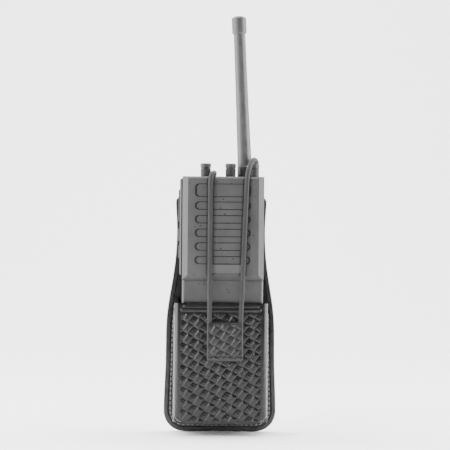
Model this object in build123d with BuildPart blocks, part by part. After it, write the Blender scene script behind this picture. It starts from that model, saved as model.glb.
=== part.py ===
"""Portable two-way radio in its leather belt holder.

Millimetres, +Z up, front towards -Y, +X to the right when the front is looked at.
The origin is the middle of the belt slot behind the holder's back panel.
"""

from build123d import *
import math
import os

os.makedirs("parts", exist_ok=True)

# ---------------------------------------------------------------- driving dimensions
# Holder
PANEL_BOTTOM = -148.0  # heights are measured from the middle of the belt
PANEL_TOP = 47.0
PANEL_FRONT_Y = -9.0
PANEL_SEAM_Y = -6.5  # between the lining and the outer panel
PANEL_BACK_Y = -4.0
PANEL_CORNER_R = 17.0
WELT_WIDTH = 4.2
WELT_PROUD = 0.9  # how far the rolled edge stands off the back of the panel
WELT_FRONT_PROUD = 0.2
POCKET_HALF_W = 37.9
POCKET_FRONT_Y = -46.0
POCKET_BOTTOM = -137.0
POCKET_MOUTH_FRONT = -40.3
POCKET_MOUTH_BACK = -36.5
LEATHER = 3.0
FLANGE_T = 1.2
BELT_GAP = 8.0
BELT_SLOT_H = 64.0
LOOP_WIDTH = 50.0
LOOP_T = 3.2

# Radio
RADIO_X = 1.0  # the radio sits a little to one side, beside its press-to-talk bar
RADIO_W = 66.4
RADIO_TOP = 62.6
RADIO_BACK_Y = -9.5
RADIO_FACE_Y = -46.5
PARTING_Y = -34.0
HOUSING_BOTTOM = -21.6
BATTERY_FACE_Y = -42.5
BATTERY_TOP = -21.8
BATTERY_BOTTOM = -133.5
WALL = 2.2
SEAM = 0.6  # gap between the housings, filled by their seal
BEVEL_W = 4.4  # slanted strips beside and below the face
BEVEL_D = 4.0

# Grille bars on the face
BAR_X = 0.6
BAR_LENGTH = 45.4
BAR_HEIGHT = 6.7
BAR_PITCH = 11.05
LOWEST_BAR_Z = -5.3
BAR_COUNT = 5
TOP_BAR_Z = 51.4
TOP_BAR_HEIGHT = 10.9
BAR_GROOVE_END = 1.6
BAR_GROOVE_SIDE = 0.6
BAR_GROOVE_DEPTH = 1.0

# Controls on the top
CONTROL_Y = -29.0
CONTROL_X = {"volume": -13.4, "squelch": 7.0, "channel": 26.2}
KNOB_R = 4.4
KNOB_TOP = 73.7
KNOB_GAP = 0.4
SHAFT_R = 1.6
RUNNING_GAP = 0.05
ANTENNA_X = 18.8
ANTENNA_Y = -19.0
ANTENNA_TIP = 195.5
ANTENNA_LEAN = 2.75  # degrees to the left of the radio's upright
WHIP_BASE_R = 6.0
WHIP_TOP_R = 4.85
CAP_R = 6.0
CAP_H = 14.6

# Retention cord and tab
CORD_R = 2.0
CORD_Y = -48.85
HINGE_Z = 52.0
HINGE_GAP = 0.3
TAB_X = 3.1
TAB_W = 30.0
TAB_TOP = -54.8
TAB_BOTTOM = -87.4
TAB_BACK_Y = -46.4
TAB_FRONT_Y = -51.4
LEFT_TOP_X = -9.6
LEFT_LEG_X = -9.5
RIGHT_TOP_X = 19.7
RIGHT_LEG_X = 15.7

RADIO_L = RADIO_X - RADIO_W / 2
RADIO_R = RADIO_X + RADIO_W / 2


def front_plane(y):
    """A sketch plane at depth y: local x is X, local y is Z, and it extrudes towards the front."""
    return Plane.XZ.offset(-y)


# ---------------------------------------------------------------- holder: back panel and its edge
def panel_outline(inset):
    """The back panel's outline, drawn in from its edge by inset."""
    low = PANEL_BOTTOM + inset
    high = PANEL_TOP - inset
    corner = PANEL_CORNER_R - inset
    top_corner = max(5.0 - inset, 0.8)
    foot = 46.5 - inset
    side = [(45.2, -88), (44.2, -50), (40.0, -22.3), (37.0, 4), (36.8, 26)]
    shoulder = (37.7 - inset, high - top_corner)
    with BuildLine() as line:
        Line((0, low), (foot - corner, low))
        RadiusArc((foot - corner, low), (foot, low + corner), -corner)
        Spline(
            [(foot, low + corner), *[(x - inset, z) for x, z in side], shoulder],
            tangents=[(0, 1), (0.03, 1)],
        )
        RadiusArc(shoulder, (shoulder[0] - top_corner, high), -top_corner)
        Line((shoulder[0] - top_corner, high), (0, high))
        mirror(about=Plane.YZ)
    return line.line


RIVET_R = 1.6
RIVET_X = 16.0
RIVET_ZS = (39.4, -46.0)
rivet_places = [(x, z) for x in (-RIVET_X, RIVET_X) for z in RIVET_ZS]

with BuildPart() as back_panel:
    with BuildSketch(front_plane(PANEL_BACK_Y)):
        with BuildLine():
            add(panel_outline(WELT_WIDTH))
        make_face()
        with Locations(*rivet_places):
            Circle(RIVET_R + 0.05, mode=Mode.SUBTRACT)
    extrude(amount=PANEL_BACK_Y - PANEL_SEAM_Y)
back_panel.part.label = "back_panel"
export_step(back_panel.part, "parts/back_panel.step")

with BuildPart() as panel_lining:
    with BuildSketch(front_plane(PANEL_SEAM_Y)):
        with BuildLine():
            add(panel_outline(WELT_WIDTH))
        make_face()
        with Locations(*rivet_places):
            Circle(RIVET_R + 0.05, mode=Mode.SUBTRACT)
    extrude(amount=PANEL_SEAM_Y - PANEL_FRONT_Y)
panel_lining.part.label = "panel_lining"
export_step(panel_lining.part, "parts/panel_lining.step")

with BuildPart() as edge_welt:
    with BuildSketch(front_plane(PANEL_BACK_Y + WELT_PROUD)):
        with BuildLine():
            add(panel_outline(0))
        make_face()
        with BuildLine():
            add(panel_outline(WELT_WIDTH))
        make_face(mode=Mode.SUBTRACT)
    extrude(amount=PANEL_BACK_Y + WELT_PROUD - PANEL_FRONT_Y + WELT_FRONT_PROUD)
edge_welt.part.label = "edge_welt"
export_step(edge_welt.part, "parts/edge_welt.step")

# ---------------------------------------------------------------- holder: pocket
SNAP_X = TAB_X
SNAP_Z = -74.0
STUD_R = 1.9
STUD_HEAD_R = 2.7
STUD_FOOT_R = 4.6

with BuildPart() as pocket:
    pocket_depth = PANEL_FRONT_Y - POCKET_FRONT_Y
    with BuildSketch(Plane.XY.offset(POCKET_BOTTOM)):
        with Locations((0, (PANEL_FRONT_Y + POCKET_FRONT_Y) / 2)):
            Rectangle(2 * POCKET_HALF_W, pocket_depth)
    extrude(amount=POCKET_MOUTH_BACK - POCKET_BOTTOM)
    fillet(pocket.edges().filter_by(Axis.Y).group_by(Axis.Z)[0], 6.5)
    fillet(pocket.faces().sort_by(Axis.Y)[0].edges(), 5.0)
    with BuildSketch(front_plane(PANEL_FRONT_Y)):
        with BuildLine():
            add(panel_outline(WELT_WIDTH + 0.3))
        make_face()
        with Locations((0, 60)):
            Rectangle(120, 2 * (60 - POCKET_MOUTH_BACK), mode=Mode.SUBTRACT)
    extrude(amount=FLANGE_T)
    inner_w = 2 * (POCKET_HALF_W - LEATHER)
    inner_h = POCKET_MOUTH_BACK - POCKET_BOTTOM - LEATHER
    with BuildSketch(front_plane(PANEL_FRONT_Y)):
        with Locations((0, POCKET_BOTTOM + LEATHER + inner_h / 2)):
            Rectangle(inner_w, inner_h)
    extrude(amount=pocket_depth - LEATHER, mode=Mode.SUBTRACT)
    # the mouth slopes up from the front wall to the panel
    with BuildSketch(Plane.YZ.offset(-60)):
        Polygon(
            (POCKET_FRONT_Y - 1, POCKET_MOUTH_FRONT),
            (POCKET_FRONT_Y + 12, POCKET_MOUTH_FRONT),
            (PANEL_FRONT_Y, POCKET_MOUTH_BACK),
            (PANEL_FRONT_Y, POCKET_MOUTH_BACK + 8),
            (POCKET_FRONT_Y - 1, POCKET_MOUTH_BACK + 8),
            align=None,
        )
    extrude(amount=120, mode=Mode.SUBTRACT)
    # the snap's stud goes through the front wall, its foot sunk into the inside
    with BuildSketch(front_plane(POCKET_FRONT_Y + LEATHER)):
        with Locations((SNAP_X, SNAP_Z)):
            Circle(STUD_FOOT_R + 0.05)
    extrude(amount=1.0, mode=Mode.SUBTRACT)
    with BuildSketch(front_plane(POCKET_FRONT_Y + LEATHER)):
        with Locations((SNAP_X, SNAP_Z)):
            Circle(STUD_R + 0.05)
    extrude(amount=LEATHER, mode=Mode.SUBTRACT)
pocket.part.label = "pocket"
export_step(pocket.part, "parts/pocket.step")

# ---------------------------------------------------------------- holder: belt loop and hardware
with BuildPart() as belt_loop:
    slot_face = PANEL_BACK_Y + BELT_GAP
    half_slot = BELT_SLOT_H / 2
    with BuildSketch(Plane.YZ.offset(-LOOP_WIDTH / 2)):
        Polygon(
            (PANEL_BACK_Y, -54),
            (PANEL_BACK_Y, -half_slot - 4),
            (slot_face, -half_slot + 4),
            (slot_face, half_slot - 4),
            (PANEL_BACK_Y, half_slot + 2.5),
            (PANEL_BACK_Y, 42.4),
            (PANEL_BACK_Y + LOOP_T, 42.4),
            (PANEL_BACK_Y + LOOP_T, half_slot + 4.5),
            (slot_face + LOOP_T, half_slot - 3),
            (slot_face + LOOP_T, -half_slot + 3),
            (PANEL_BACK_Y + LOOP_T, -half_slot - 6),
            (PANEL_BACK_Y + LOOP_T, -54),
            align=None,
        )
    extrude(amount=LOOP_WIDTH)
    with BuildSketch(front_plane(PANEL_BACK_Y + LOOP_T)):
        with Locations(*rivet_places):
            Circle(RIVET_R + 0.05)
    extrude(amount=LOOP_T, mode=Mode.SUBTRACT)
belt_loop.part.label = "belt_loop"
export_step(belt_loop.part, "parts/belt_loop.step")

RIVET_HEAD_R = 2.8
with BuildPart() as loop_rivets:
    with BuildSketch(front_plane(PANEL_BACK_Y + LOOP_T)):
        with Locations(*rivet_places):
            Circle(RIVET_R)
    extrude(amount=LOOP_T + PANEL_BACK_Y - PANEL_FRONT_Y)
    with BuildSketch(front_plane(PANEL_BACK_Y + LOOP_T + 1.0)):
        with Locations(*rivet_places):
            Circle(RIVET_HEAD_R)
    extrude(amount=1.0)
    heads = loop_rivets.faces().filter_by(Axis.Y).group_by(Axis.Y)[-1]
    fillet(heads.edges(), 0.7)
loop_rivets.part.label = "loop_rivets"
export_step(loop_rivets.part, "parts/loop_rivets.step")

with BuildPart() as snap_stud:
    with BuildSketch(front_plane(POCKET_FRONT_Y + LEATHER)):
        with Locations((SNAP_X, SNAP_Z)):
            Circle(STUD_FOOT_R)
    extrude(amount=0.9)
    with BuildSketch(front_plane(POCKET_FRONT_Y + LEATHER)):
        with Locations((SNAP_X, SNAP_Z)):
            Circle(STUD_R)
    extrude(amount=LEATHER + 1.4)
    with BuildSketch(front_plane(POCKET_FRONT_Y - 1.2)):
        with Locations((SNAP_X, SNAP_Z)):
            Circle(STUD_HEAD_R)
    extrude(amount=1.6)
    fillet(snap_stud.faces().sort_by(Axis.Y)[0].edges(), 0.6)
snap_stud.part.label = "snap_stud"
export_step(snap_stud.part, "parts/snap_stud.step")

# ---------------------------------------------------------------- retention cord
FERRULE_Y = -6.5
FERRULE_H = 7.0
LEFT_BACK_X = -6.4
RIGHT_BACK_X = 29.2
OVER_Z = RADIO_TOP + CORD_R + 0.4

with BuildPart() as cord_ferrules:
    for x in (LEFT_BACK_X, RIGHT_BACK_X):
        with BuildSketch(Plane.XY.offset(PANEL_TOP)):
            with Locations((x, FERRULE_Y)):
                Circle(CORD_R + 0.6)
        extrude(amount=FERRULE_H)
    for x in (LEFT_BACK_X, RIGHT_BACK_X):
        with BuildSketch(Plane.XY.offset(PANEL_TOP + 1)):
            with Locations((x, FERRULE_Y)):
                Circle(CORD_R + 0.03)
        extrude(amount=FERRULE_H, mode=Mode.SUBTRACT)
cord_ferrules.part.label = "cord_ferrules"
export_step(cord_ferrules.part, "parts/cord_ferrules.step")

START_Z = HINGE_Z + CORD_R + HINGE_GAP
left_route = [
    (LEFT_TOP_X, CORD_Y, START_Z),
    (-9.4, CORD_Y, OVER_Z),
    (-6.6, -37.0, OVER_Z),
    (-6.0, -20.0, OVER_Z + 0.5),
    (LEFT_BACK_X, FERRULE_Y, OVER_Z + 2.4),
    (LEFT_BACK_X, FERRULE_Y, PANEL_TOP + 1),
]
right_route = [
    (RIGHT_TOP_X, CORD_Y, START_Z),
    (19.9, CORD_Y + 0.4, 65.5),
    (24.4, -36.6, 77.0),
    (28.8, -22.5, 76.4),
    (RIGHT_BACK_X, FERRULE_Y, 66.0),
    (RIGHT_BACK_X, FERRULE_Y, PANEL_TOP + 1),
]


def bend_radii(route):
    """The largest tangent arc that the two runs at each inner point leave room for."""
    points = [Vector(*p) for p in route]
    radii = []
    for before, here, after in zip(points, points[1:], points[2:]):
        turn = math.radians((here - before).get_angle(after - here))
        shorter = min((here - before).length, (after - here).length)
        radii.append(0.45 * shorter / math.tan(turn / 2))
    return radii


def cord(route):
    """A round cord along straight runs joined by tangent arcs."""
    with BuildPart() as tube:
        with BuildLine() as path:
            FilletPolyline(*route, radius=bend_radii(route))
        with BuildSketch(Plane(origin=path.line @ 0, z_dir=path.line % 0)):
            Circle(CORD_R)
        sweep()
    print("cord radii", [round(r, 1) for r in bend_radii(route)])
    length = sum(edge.length for edge in path.edges())
    print("cord volume over section times length", tube.part.volume / (math.pi * CORD_R**2 * length))
    return tube.part


for side, route in (("left", left_route), ("right", right_route)):
    over = cord(route)
    over.label = f"{side}_cord_over"
    export_step(over, f"parts/{side}_cord_over.step")

for side, top_x, low_x in (("left", LEFT_TOP_X, LEFT_LEG_X), ("right", RIGHT_TOP_X, RIGHT_LEG_X)):
    with BuildPart() as leg:
        top = Vector(top_x, CORD_Y, HINGE_Z + CORD_R)
        low = Vector(low_x, CORD_Y, TAB_TOP - 8)
        with BuildSketch(Plane(origin=low, z_dir=top - low)):
            Circle(CORD_R)
        extrude(amount=(top - low).length)
        fillet(leg.edges().sort_by(Axis.Z)[-1], 1.9)
    leg.part.label = f"{side}_cord_leg"
    export_step(leg.part, f"parts/{side}_cord_leg.step")

with BuildPart() as pull_tab:
    with BuildSketch(front_plane(TAB_BACK_Y)):
        with Locations((TAB_X, (TAB_TOP + TAB_BOTTOM) / 2)):
            RectangleRounded(TAB_W, TAB_TOP - TAB_BOTTOM, 1.5)
    extrude(amount=TAB_BACK_Y - TAB_FRONT_Y)
    for top_x, low_x in ((LEFT_TOP_X, LEFT_LEG_X), (RIGHT_TOP_X, RIGHT_LEG_X)):
        top = Vector(top_x, CORD_Y, HINGE_Z + CORD_R)
        low = Vector(low_x, CORD_Y, TAB_TOP - 8)
        with BuildSketch(Plane(origin=low, z_dir=top - low)):
            Circle(CORD_R + 0.02)
        extrude(amount=20, mode=Mode.SUBTRACT)
    with BuildSketch(front_plane(TAB_BACK_Y)):
        with Locations((SNAP_X, SNAP_Z)):
            Circle(5.0)
    extrude(amount=3.2, mode=Mode.SUBTRACT)
pull_tab.part.label = "pull_tab"
export_step(pull_tab.part, "parts/pull_tab.step")

with BuildPart() as snap_socket:
    with BuildSketch(front_plane(TAB_BACK_Y)):
        with Locations((SNAP_X, SNAP_Z)):
            Circle(4.95)
            Circle(STUD_HEAD_R + 0.3, mode=Mode.SUBTRACT)
    extrude(amount=2.6)
    with BuildSketch(front_plane(TAB_BACK_Y - 2.6)):
        with Locations((SNAP_X, SNAP_Z)):
            Circle(4.95)
    extrude(amount=0.6)
snap_socket.part.label = "snap_socket"
export_step(snap_socket.part, "parts/snap_socket.step")

# ---------------------------------------------------------------- radio: housings
SCREW_PLACES = [(RADIO_X + sx * 27.2, z) for sx in (-1, 1) for z in (48.0, -15.5)]
HOUSING_MID_Z = (RADIO_TOP + HOUSING_BOTTOM) / 2
HOUSING_H = RADIO_TOP - HOUSING_BOTTOM
bars = [(LOWEST_BAR_Z + n * BAR_PITCH, BAR_HEIGHT) for n in range(BAR_COUNT)]
bars.append((TOP_BAR_Z, TOP_BAR_HEIGHT))
PLATE_X = 3.4
PLATE_Z = -12.3
PLATE_W = 28.0
PLATE_H = 6.8


with BuildPart() as front_housing:
    with BuildSketch(front_plane(PARTING_Y - SEAM / 2)):
        with Locations((RADIO_X, HOUSING_MID_Z)):
            Rectangle(RADIO_W, HOUSING_H)
    extrude(amount=PARTING_Y - SEAM / 2 - RADIO_FACE_Y)
    face_edges = front_housing.faces().sort_by(Axis.Y)[0].edges()
    sides_and_foot = face_edges.filter_by(Axis.Z) + [face_edges.sort_by(Axis.Z)[0]]
    chamfer(sides_and_foot, BEVEL_D, BEVEL_W)
    chamfer(front_housing.faces().sort_by(Axis.Y)[0].edges().sort_by(Axis.Z)[-1], 1.6)
    front_edges = front_housing.faces().sort_by(Axis.Y)[0].edges()
    fillet(front_edges, 0.5)
    with BuildSketch(front_plane(PARTING_Y)):
        with Locations((RADIO_X, HOUSING_MID_Z)):
            Rectangle(RADIO_W - 2 * WALL, HOUSING_H - 2 * WALL)
    extrude(amount=PARTING_Y - BATTERY_FACE_Y, mode=Mode.SUBTRACT)
    with BuildSketch(front_plane(BATTERY_FACE_Y)):
        with Locations((RADIO_X, HOUSING_MID_Z)):
            Rectangle(RADIO_W - 2 * WALL - 9, HOUSING_H - 2 * WALL - 9)
    extrude(amount=BATTERY_FACE_Y - RADIO_FACE_Y - WALL, mode=Mode.SUBTRACT)
    for z, height in bars:
        with BuildSketch(front_plane(RADIO_FACE_Y + BAR_GROOVE_DEPTH)):
            with Locations((BAR_X, z)):
                RectangleRounded(BAR_LENGTH, height, min(height / 2.05, 3.2))
                RectangleRounded(
                    BAR_LENGTH - 2 * BAR_GROOVE_END,
                    height - 2 * BAR_GROOVE_SIDE,
                    min(height / 2.05, 3.2) - BAR_GROOVE_SIDE,
                    mode=Mode.SUBTRACT,
                )
        extrude(amount=BAR_GROOVE_DEPTH + 1, mode=Mode.SUBTRACT)
    with BuildSketch(front_plane(RADIO_FACE_Y + 0.6)):
        with Locations((PLATE_X, PLATE_Z)):
            RectangleRounded(PLATE_W + 0.1, PLATE_H + 0.1, 1.0)
    extrude(amount=1.6, mode=Mode.SUBTRACT)
    with BuildSketch(front_plane(-30.5)):
        with Locations(*SCREW_PLACES):
            Circle(3.0)
    extrude(amount=13.0)
    with BuildSketch(front_plane(-30.5)):
        with Locations(*SCREW_PLACES):
            Circle(1.5)
    extrude(amount=11.0, mode=Mode.SUBTRACT)
front_housing.part.label = "front_housing"
export_step(front_housing.part, "parts/front_housing.step")

with BuildPart() as name_plate:
    with BuildSketch(front_plane(RADIO_FACE_Y + 0.6)):
        with Locations((PLATE_X, PLATE_Z)):
            RectangleRounded(PLATE_W, PLATE_H, 1.0)
    extrude(amount=0.7)
name_plate.part.label = "name_plate"
export_step(name_plate.part, "parts/name_plate.step")

with BuildPart() as housing_seal:
    with BuildSketch(front_plane(PARTING_Y + SEAM / 2)):
        with Locations((RADIO_X, HOUSING_MID_Z)):
            Rectangle(RADIO_W - 1.0, HOUSING_H - 1.0)
            Rectangle(RADIO_W - 2 * WALL + 0.4, HOUSING_H - 2 * WALL + 0.4, mode=Mode.SUBTRACT)
    extrude(amount=SEAM)
housing_seal.part.label = "housing_seal"
export_step(housing_seal.part, "parts/housing_seal.step")

# the press-to-talk bar on the left side, with its three buttons
BEZEL_T = 2.2
BEZEL_Y = -27.0
BEZEL_W = 18.0
BEZEL_TOP = 61.0
BEZEL_FOOT = -18.0
BUTTON_STEM_R = 2.0
BUTTONS = {"talk": (39.0, 26.0, 11.0), "monitor": (15.0, 10.0, 9.0), "light": (1.0, 10.0, 9.0)}
BUTTON_PROUD = 1.0
BUTTON_GAP = 0.25
COVER_Z = 30.0
COVER_H = 22.0
COVER_W = 13.0
COVER_Y = -22.0
COVER_T = 1.4
COVER_HINGE_Y = COVER_Y - COVER_W / 2 - 1.2
SHAFT_HOLE_R = SHAFT_R + RUNNING_GAP
BUSH_R = 3.0
LATCH_Y = -20.0
LATCH_Z = -13.6
LATCH_SIDE = 7.6
LATCH_TRAVEL = 2.0
PIN_R = 1.0
BATTERY_MID_Y = (RADIO_BACK_Y + BATTERY_FACE_Y) / 2
CONTACT_PLACES = [(RADIO_X + sx * 12, BATTERY_MID_Y + 4) for sx in (-1, 0, 1)]

with BuildPart() as rear_housing:
    with BuildSketch(front_plane(RADIO_BACK_Y)):
        with Locations((RADIO_X, HOUSING_MID_Z)):
            RectangleRounded(RADIO_W, HOUSING_H, 0.8)
    extrude(amount=RADIO_BACK_Y - PARTING_Y - SEAM / 2)
    fillet(rear_housing.faces().sort_by(Axis.Y)[-1].edges(), 1.5)
    with BuildSketch(front_plane(RADIO_BACK_Y - WALL)):
        with Locations((RADIO_X, HOUSING_MID_Z)):
            Rectangle(RADIO_W - 2 * WALL, HOUSING_H - 2 * WALL)
    extrude(amount=RADIO_BACK_Y - PARTING_Y, mode=Mode.SUBTRACT)
    with BuildSketch(front_plane(RADIO_BACK_Y - 1)):
        with Locations(*SCREW_PLACES):
            Circle(3.6)
    extrude(amount=19.5)
    with BuildSketch(front_plane(RADIO_BACK_Y + 1)):
        with Locations(*SCREW_PLACES):
            Circle(3.0)
    extrude(amount=4.0, mode=Mode.SUBTRACT)
    with BuildSketch(front_plane(RADIO_BACK_Y)):
        with Locations(*SCREW_PLACES):
            Circle(1.7)
    extrude(amount=24, mode=Mode.SUBTRACT)
    with BuildSketch(Plane.XY.offset(RADIO_TOP - WALL - 1)):
        with Locations(*[(x, CONTROL_Y) for x in CONTROL_X.values()]):
            Circle(BUSH_R + 0.05)
        with Locations((ANTENNA_X, ANTENNA_Y)):
            Circle(4.05)
    extrude(amount=WALL + 2, mode=Mode.SUBTRACT)
    with BuildSketch(Plane.XY.offset(RADIO_TOP - 0.8)):
        with Locations((RADIO_X, (PARTING_Y + RADIO_BACK_Y) / 2 + 0.4)):
            RectangleRounded(60.1, 20.1, 2.0)
    extrude(amount=2, mode=Mode.SUBTRACT)
    with BuildSketch(Plane.YZ.offset(RADIO_L - 1)):
        with Locations(*[(BEZEL_Y, z) for z, _, _ in BUTTONS.values()]):
            Circle(BUTTON_STEM_R + 0.25)
    extrude(amount=WALL + 2, mode=Mode.SUBTRACT)
    with BuildSketch(Plane.YZ.offset(RADIO_R - COVER_T - 0.1)):
        with Locations((COVER_Y - 0.9, COVER_Z)):
            Rectangle(COVER_W + 4.4, COVER_H + 0.6)
    extrude(amount=5, mode=Mode.SUBTRACT)
    with BuildSketch(Plane.YZ.offset(RADIO_R - WALL - 1)):
        with Locations((COVER_Y, COVER_Z)):
            RectangleRounded(8.1, 16.1, 2.0)
        with Locations((LATCH_Y, LATCH_Z + LATCH_TRAVEL / 2)):
            Rectangle(LATCH_SIDE + 0.2, LATCH_SIDE + LATCH_TRAVEL + 0.4)
    extrude(amount=5, mode=Mode.SUBTRACT)
    with BuildSketch(Plane.XY.offset(HOUSING_BOTTOM - 1)):
        with Locations(*CONTACT_PLACES):
            Circle(PIN_R + 0.05)
    extrude(amount=WALL + 2, mode=Mode.SUBTRACT)
rear_housing.part.label = "rear_housing"
export_step(rear_housing.part, "parts/rear_housing.step")

with BuildPart() as battery_latch:
    with BuildSketch(Plane.YZ.offset(RADIO_R - WALL + 0.1)):
        with Locations((LATCH_Y, LATCH_Z)):
            Rectangle(LATCH_SIDE, LATCH_SIDE)
    extrude(amount=WALL + 0.7)
    fillet(battery_latch.edges().filter_by(Axis.X), 0.6)
    with BuildSketch(Plane.YZ.offset(RADIO_R + 0.4)):
        with Locations((LATCH_Y, LATCH_Z)):
            with GridLocations(0, 1.5, 1, 4):
                Rectangle(LATCH_SIDE + 1, 0.6)
    extrude(amount=1, mode=Mode.SUBTRACT)
battery_latch.part.label = "battery_latch"
export_step(battery_latch.part, "parts/battery_latch.step")

with BuildPart() as contact_pins:
    with BuildSketch(Plane.XY.offset(BATTERY_TOP - 0.05)):
        with Locations(*CONTACT_PLACES):
            Circle(PIN_R)
    extrude(amount=4.5)
contact_pins.part.label = "contact_pins"
export_step(contact_pins.part, "parts/contact_pins.step")

with BuildPart() as top_plate:
    with BuildSketch(Plane.XY.offset(RADIO_TOP - 0.8)):
        with Locations((RADIO_X, (PARTING_Y + RADIO_BACK_Y) / 2 + 0.4)):
            RectangleRounded(60.0, 20.0, 2.0)
        with Locations(*[(x, CONTROL_Y) for x in CONTROL_X.values()]):
            Circle(BUSH_R + 0.05, mode=Mode.SUBTRACT)
        with Locations((ANTENNA_X, ANTENNA_Y)):
            Circle(4.05, mode=Mode.SUBTRACT)
    extrude(amount=0.8)
top_plate.part.label = "top_plate"
export_step(top_plate.part, "parts/top_plate.step")

with BuildPart() as side_bezel:
    with BuildSketch(Plane.YZ.offset(RADIO_L - BEZEL_T)):
        with Locations((BEZEL_Y, (BEZEL_TOP + BEZEL_FOOT) / 2)):
            Rectangle(BEZEL_W, BEZEL_TOP - BEZEL_FOOT)
    extrude(amount=BEZEL_T)
    chamfer(side_bezel.faces().sort_by(Axis.X)[0].edges(), 1.2)
    with BuildSketch(Plane.YZ.offset(RADIO_L - BEZEL_T - 1)):
        for z, height, width in BUTTONS.values():
            with Locations((BEZEL_Y, z)):
                RectangleRounded(width + 2 * BUTTON_GAP, height + 2 * BUTTON_GAP, 2.2)
    extrude(amount=BEZEL_T + 2, mode=Mode.SUBTRACT)
side_bezel.part.label = "side_bezel"
export_step(side_bezel.part, "parts/side_bezel.step")

for use, (z, height, width) in BUTTONS.items():
    with BuildPart() as button:
        with BuildSketch(Plane.YZ.offset(RADIO_L - BEZEL_T - BUTTON_PROUD)):
            with Locations((BEZEL_Y, z)):
                RectangleRounded(width, height, 2.0)
        extrude(amount=1.7)
        fillet(button.faces().sort_by(Axis.X)[0].edges(), 0.7)
        with BuildSketch(Plane.YZ.offset(RADIO_L - BEZEL_T)):
            with Locations((BEZEL_Y, z)):
                Circle(BUTTON_STEM_R)
        extrude(amount=BEZEL_T + WALL + 0.6)
    button.part.label = f"{use}_button"
    export_step(button.part, f"parts/{use}_button.step")

with BuildPart() as side_board:
    board_x = RADIO_L + WALL + 4.4
    with BuildSketch(Plane.YZ.offset(board_x)):
        with Locations((BEZEL_Y + 2, 19.5)):
            Rectangle(9, 48)
    extrude(amount=1.0)
    with BuildSketch(Plane.YZ.offset(board_x - 2.2)):
        with Locations(*[(BEZEL_Y, z) for z, _, _ in BUTTONS.values()]):
            Rectangle(4.4, 4.4)
    extrude(amount=2.2)
side_board.part.label = "side_board"
export_step(side_board.part, "parts/side_board.step")

with BuildPart() as socket_cover:
    with BuildSketch(Plane.YZ.offset(RADIO_R - COVER_T)):
        with Locations((COVER_Y, COVER_Z)):
            Rectangle(COVER_W, COVER_H)
    extrude(amount=COVER_T)
    chamfer(socket_cover.faces().sort_by(Axis.X)[-1].edges(), 0.3)
    with BuildSketch(Plane.XY.offset(COVER_Z - COVER_H / 2)):
        with Locations((RADIO_R - COVER_T / 2, COVER_HINGE_Y + 0.4)):
            Circle(COVER_T / 2)
        with Locations((RADIO_R - COVER_T / 2, COVER_HINGE_Y + 0.9)):
            Rectangle(1.0, 1.0)
        with Locations((RADIO_R - COVER_T / 2, COVER_HINGE_Y + 0.4)):
            Circle(0.45, mode=Mode.SUBTRACT)
    extrude(amount=COVER_H)
socket_cover.part.label = "socket_cover"
export_step(socket_cover.part, "parts/socket_cover.step")

with BuildPart() as cover_pin:
    with BuildSketch(Plane.XY.offset(COVER_Z - COVER_H / 2 - 0.3)):
        with Locations((RADIO_R - COVER_T / 2, COVER_HINGE_Y + 0.4)):
            Circle(0.4)
    extrude(amount=COVER_H + 0.6)
cover_pin.part.label = "cover_pin"
export_step(cover_pin.part, "parts/cover_pin.step")

with BuildPart() as accessory_socket:
    with BuildSketch(Plane.YZ.offset(RADIO_R - COVER_T - 0.3)):
        with Locations((COVER_Y, COVER_Z)):
            RectangleRounded(8.0, 16.0, 2.0)
    extrude(amount=-4.0)
accessory_socket.part.label = "accessory_socket"
export_step(accessory_socket.part, "parts/accessory_socket.step")

with BuildPart() as housing_screws:
    with BuildSketch(front_plane(RADIO_BACK_Y - 0.6)):
        with Locations(*SCREW_PLACES):
            Circle(2.8)
            Rectangle(3.6, 0.7, mode=Mode.SUBTRACT)
            Rectangle(0.7, 3.6, mode=Mode.SUBTRACT)
    extrude(amount=1.2)
    with BuildSketch(front_plane(RADIO_BACK_Y - 1.8)):
        with Locations(*SCREW_PLACES):
            Circle(2.8)
    extrude(amount=1.0)
    with BuildSketch(front_plane(RADIO_BACK_Y - 2.8)):
        with Locations(*SCREW_PLACES):
            Circle(1.45)
    extrude(amount=25.5)
housing_screws.part.label = "housing_screws"
export_step(housing_screws.part, "parts/housing_screws.step")

# ---------------------------------------------------------------- radio: inside the housings
SPEAKER_X = 1.0
SPEAKER_Z = 17.0
SPEAKER_R = 19.0
FACE_INSIDE_Y = RADIO_FACE_Y + WALL


with BuildPart() as dust_screen:
    with BuildSketch(front_plane(FACE_INSIDE_Y + 0.6)):
        with Locations((SPEAKER_X, SPEAKER_Z)):
            Circle(SPEAKER_R + 2.0)
    extrude(amount=0.5)
dust_screen.part.label = "dust_screen"
export_step(dust_screen.part, "parts/dust_screen.step")

with BuildPart() as speaker_ring:
    with BuildSketch(front_plane(FACE_INSIDE_Y + 2.1)):
        with Locations((SPEAKER_X, SPEAKER_Z)):
            Circle(SPEAKER_R)
            Circle(SPEAKER_R - 2.5, mode=Mode.SUBTRACT)
    extrude(amount=1.5)
speaker_ring.part.label = "speaker_ring"
export_step(speaker_ring.part, "parts/speaker_ring.step")

with BuildPart() as speaker:
    with BuildSketch(front_plane(FACE_INSIDE_Y + 3.7)):
        with Locations((SPEAKER_X, SPEAKER_Z)):
            Circle(SPEAKER_R)
    extrude(amount=1.6)
    with BuildSketch(front_plane(FACE_INSIDE_Y + 3.7)):
        with Locations((SPEAKER_X, SPEAKER_Z)):
            Circle(SPEAKER_R - 3)
    extrude(amount=-3.4, taper=25)
    with BuildSketch(front_plane(FACE_INSIDE_Y + 10.6)):
        with Locations((SPEAKER_X, SPEAKER_Z)):
            Circle(11.0)
    extrude(amount=4.0)
speaker.part.label = "speaker"
export_step(speaker.part, "parts/speaker.step")

with BuildPart() as microphone:
    with BuildSketch(front_plane(FACE_INSIDE_Y + 3.0)):
        with Locations((RADIO_X - 17, 46.0)):
            Circle(3.0)
    extrude(amount=2.8)
microphone.part.label = "microphone"
export_step(microphone.part, "parts/microphone.step")

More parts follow.
